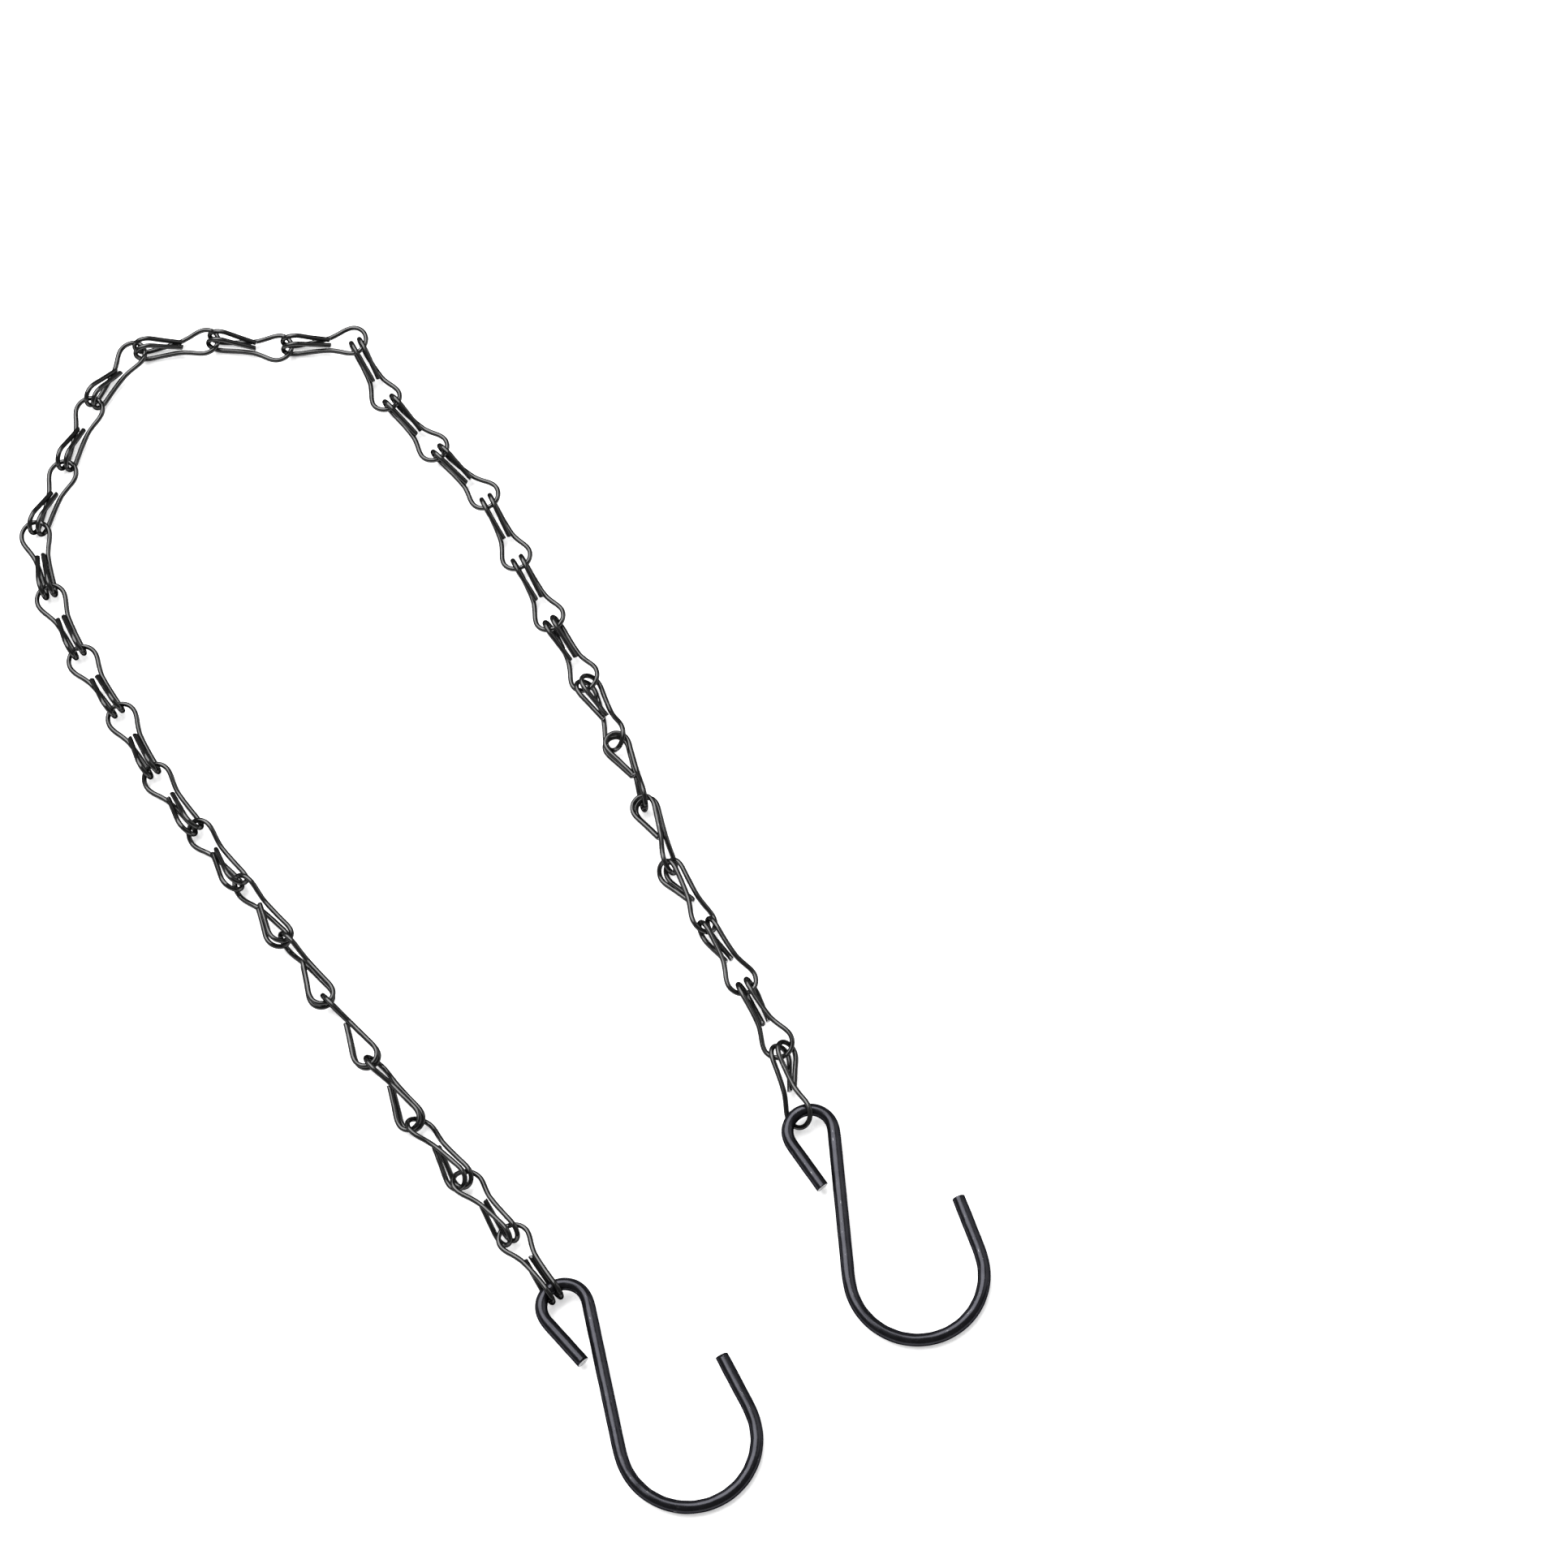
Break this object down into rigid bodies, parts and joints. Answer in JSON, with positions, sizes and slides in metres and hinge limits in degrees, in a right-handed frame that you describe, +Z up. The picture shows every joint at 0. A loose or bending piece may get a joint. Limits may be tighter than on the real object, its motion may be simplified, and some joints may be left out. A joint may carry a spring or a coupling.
{
  "type": "safety chain hook",
  "caption": "Length of black double-jack wire chain with an open S-hook linked to each end, laid out in a U shape.",
  "frame": {"origin": "under the middle of the outline, on the surface the chain lies on", "axes": "+Z up from that surface; +Y runs from the open ends of the U, with the S-hooks, towards its closed end; the left S-hook is on the -X side"},
  "size_m": [0.3017, 0.3893, 0.011],
  "materials": {
    "link_steel": "satin black",
    "hook_steel": "semi-gloss black"
  },
  "bodies": {
    "hook_left": {"hook_left": "hook_steel"},
    "link_01": {"link_01": "link_steel"},
    "link_02": {"link_02": "link_steel"},
    "link_03": {"link_03": "link_steel"},
    "link_04": {"link_04": "link_steel"},
    "link_05": {"link_05": "link_steel"},
    "link_06": {"link_06": "link_steel"},
    "link_07": {"link_07": "link_steel"},
    "link_08": {"link_08": "link_steel"},
    "link_09": {"link_09": "link_steel"},
    "link_10": {"link_10": "link_steel"},
    "link_11": {"link_11": "link_steel"},
    "link_12": {"link_12": "link_steel"},
    "link_13": {"link_13": "link_steel"},
    "link_14": {"link_14": "link_steel"},
    "link_15": {"link_15": "link_steel"},
    "link_16": {"link_16": "link_steel"},
    "link_17": {"link_17": "link_steel"},
    "link_18": {"link_18": "link_steel"},
    "link_19": {"link_19": "link_steel"},
    "link_20": {"link_20": "link_steel"},
    "link_21": {"link_21": "link_steel"},
    "link_22": {"link_22": "link_steel"},
    "link_23": {"link_23": "link_steel"},
    "link_24": {"link_24": "link_steel"},
    "link_25": {"link_25": "link_steel"},
    "link_26": {"link_26": "link_steel"},
    "link_27": {"link_27": "link_steel"},
    "link_28": {"link_28": "link_steel"},
    "link_29": {"link_29": "link_steel"},
    "link_30": {"link_30": "link_steel"},
    "link_31": {"link_31": "link_steel"},
    "link_32": {"link_32": "link_steel"},
    "hook_right": {"hook_right": "hook_steel"}
  },
  "joints": [
    {"name": "link_18_hinge", "type": "hinge", "parent": "link_17", "child": "link_18", "pos_m": [-0.09182, 0.18898, 0.00386], "axis": [0.0806, 0.9945, -0.0671], "range_deg": [-60, 60]},
    {"name": "link_19_hinge", "type": "hinge", "parent": "link_18", "child": "link_19", "pos_m": [-0.06803, 0.18732, 0.00381], "axis": [0.0671, -0.9975, 0.0225], "range_deg": [-60, 60]},
    {"name": "link_20_hinge", "type": "hinge", "parent": "link_19", "child": "link_20", "pos_m": [-0.04604, 0.18539, 0.00424], "axis": [0.8063, 0.5665, 0.17], "range_deg": [-60, 60]},
    {"name": "link_21_hinge", "type": "hinge", "parent": "link_20", "child": "link_21", "pos_m": [-0.03428, 0.16502, 0.00416], "axis": [-0.7692, -0.6361, -0.0613], "range_deg": [-60, 60]},
    {"name": "link_22_hinge", "type": "hinge", "parent": "link_21", "child": "link_22", "pos_m": [-0.01824, 0.1472, 0.00391], "axis": [0.7161, 0.6851, 0.1335], "range_deg": [-60, 60]},
    {"name": "link_23_hinge", "type": "hinge", "parent": "link_22", "child": "link_23", "pos_m": [-0.00255, 0.12916, 0.00402], "axis": [-0.8682, -0.4569, -0.1935], "range_deg": [-60, 60]},
    {"name": "link_24_hinge", "type": "hinge", "parent": "link_23", "child": "link_24", "pos_m": [0.00796, 0.10761, 0.00402], "axis": [0.8779, 0.4432, 0.1814], "range_deg": [-60, 60]},
    {"name": "link_25_hinge", "type": "hinge", "parent": "link_24", "child": "link_25", "pos_m": [0.01884, 0.08624, 0.00423], "axis": [-0.8711, -0.4459, -0.206], "range_deg": [-60, 60]},
    {"name": "link_26_hinge", "type": "hinge", "parent": "link_25", "child": "link_26", "pos_m": [0.02966, 0.06502, 0.00469], "axis": [0.8562, 0.3445, 0.3851], "range_deg": [-10, 25]},
    {"name": "link_27_hinge", "type": "hinge", "parent": "link_26", "child": "link_27", "pos_m": [0.03889, 0.04428, 0.00543], "axis": [-0.5964, -0.1842, -0.7813], "range_deg": [-5, 10]},
    {"name": "link_28_hinge", "type": "hinge", "parent": "link_27", "child": "link_28", "pos_m": [0.04787, 0.02412, 0.00516], "axis": [0.1144, -0.0271, 0.9931], "range_deg": [-15, 10]},
    {"name": "link_29_hinge", "type": "hinge", "parent": "link_28", "child": "link_29", "pos_m": [0.05642, 0.00296, 0.00474], "axis": [0.3424, 0.2423, -0.9078], "range_deg": [-5, 40]},
    {"name": "link_30_hinge", "type": "hinge", "parent": "link_29", "child": "link_30", "pos_m": [0.068, -0.01631, 0.00491], "axis": [-0.6339, -0.4485, 0.6301], "range_deg": [-20, 10]},
    {"name": "link_31_hinge", "type": "hinge", "parent": "link_30", "child": "link_31", "pos_m": [0.07974, -0.03585, 0.00484], "axis": [0.8271, 0.5315, -0.1831], "range_deg": [-5, 15]},
    {"name": "link_32_hinge", "type": "hinge", "parent": "link_31", "child": "link_32", "pos_m": [0.09011, -0.05621, 0.00446], "axis": [-0.8949, -0.3317, -0.2984], "range_deg": [-20, 10]},
    {"name": "hook_right_hinge", "type": "hinge", "parent": "link_32", "child": "hook_right", "pos_m": [0.09448, -0.07376, 0.00426], "axis": [0.8572, 0.515, -0.0045], "range_deg": [-15, 25]},
    {"name": "link_16_hinge", "type": "hinge", "parent": "link_17", "child": "link_16", "pos_m": [-0.1152, 0.18569, 0.0042], "axis": [0.2783, -0.9576, 0.0741], "range_deg": [-60, 60]},
    {"name": "link_15_hinge", "type": "hinge", "parent": "link_16", "child": "link_15", "pos_m": [-0.12965, 0.16785, 0.00405], "axis": [-0.8607, 0.4818, -0.1645], "range_deg": [-60, 60]},
    {"name": "link_14_hinge", "type": "hinge", "parent": "link_15", "child": "link_14", "pos_m": [-0.13745, 0.14519, 0.00404], "axis": [0.9414, -0.2809, 0.1865], "range_deg": [-60, 60]},
    {"name": "link_13_hinge", "type": "hinge", "parent": "link_14", "child": "link_13", "pos_m": [-0.14461, 0.12316, 0.00474], "axis": [-0.9686, 0.2371, -0.0752], "range_deg": [-60, 60]},
    {"name": "link_12_hinge", "type": "hinge", "parent": "link_13", "child": "link_12", "pos_m": [-0.14066, 0.10075, 0.00466], "axis": [0.9411, 0.2894, 0.1748], "range_deg": [-60, 60]},
    {"name": "link_11_hinge", "type": "hinge", "parent": "link_12", "child": "link_11", "pos_m": [-0.13018, 0.07927, 0.00401], "axis": [-0.8577, -0.4611, -0.2273], "range_deg": [-60, 60]},
    {"name": "link_10_hinge", "type": "hinge", "parent": "link_11", "child": "link_10", "pos_m": [-0.11713, 0.05917, 0.0042], "axis": [0.7992, 0.5318, 0.2801], "range_deg": [-60, 60]},
    {"name": "link_09_hinge", "type": "hinge", "parent": "link_10", "child": "link_09", "pos_m": [-0.10489, 0.0388, 0.00427], "axis": [-0.768, -0.433, -0.472], "range_deg": [-60, 60]},
    {"name": "link_08_hinge", "type": "hinge", "parent": "link_09", "child": "link_08", "pos_m": [-0.09093, 0.01959, 0.00443], "axis": [0.5941, 0.4365, 0.6756], "range_deg": [-60, 60]},
    {"name": "link_07_hinge", "type": "hinge", "parent": "link_08", "child": "link_07", "pos_m": [-0.07644, 0.00104, 0.00536], "axis": [-0.3623, -0.2808, -0.8888], "range_deg": [-30, 50]},
    {"name": "link_06_hinge", "type": "hinge", "parent": "link_07", "child": "link_06", "pos_m": [-0.06185, -0.01763, 0.00578], "axis": [0.1158, 0.0552, 0.9917], "range_deg": [-40, 25]},
    {"name": "link_05_hinge", "type": "hinge", "parent": "link_06", "child": "link_05", "pos_m": [-0.04813, -0.03723, 0.00562], "axis": [0.0999, 0.1212, -0.9876], "range_deg": [-55, 60]},
    {"name": "link_04_hinge", "type": "hinge", "parent": "link_05", "child": "link_04", "pos_m": [-0.03406, -0.0566, 0.0052], "axis": [-0.3093, -0.2876, 0.9064], "range_deg": [-50, 60]},
    {"name": "link_03_hinge", "type": "hinge", "parent": "link_04", "child": "link_03", "pos_m": [-0.02051, -0.07595, 0.00435], "axis": [0.5428, 0.4691, -0.6967], "range_deg": [-30, 35]},
    {"name": "link_02_hinge", "type": "hinge", "parent": "link_03", "child": "link_02", "pos_m": [-0.00618, -0.09302, 0.0048], "axis": [-0.6806, -0.6115, 0.4036], "range_deg": [-55, 30]},
    {"name": "link_01_hinge", "type": "hinge", "parent": "link_02", "child": "link_01", "pos_m": [0.00805, -0.10999, 0.00513], "axis": [0.7476, 0.661, -0.0645], "range_deg": [-30, 55]},
    {"name": "hook_left_hinge", "type": "hinge", "parent": "link_01", "child": "hook_left", "pos_m": [0.02185, -0.1283, 0.00441], "axis": [0.766, 0.6428, -0.0048], "range_deg": [-60, 60]}
  ]
}
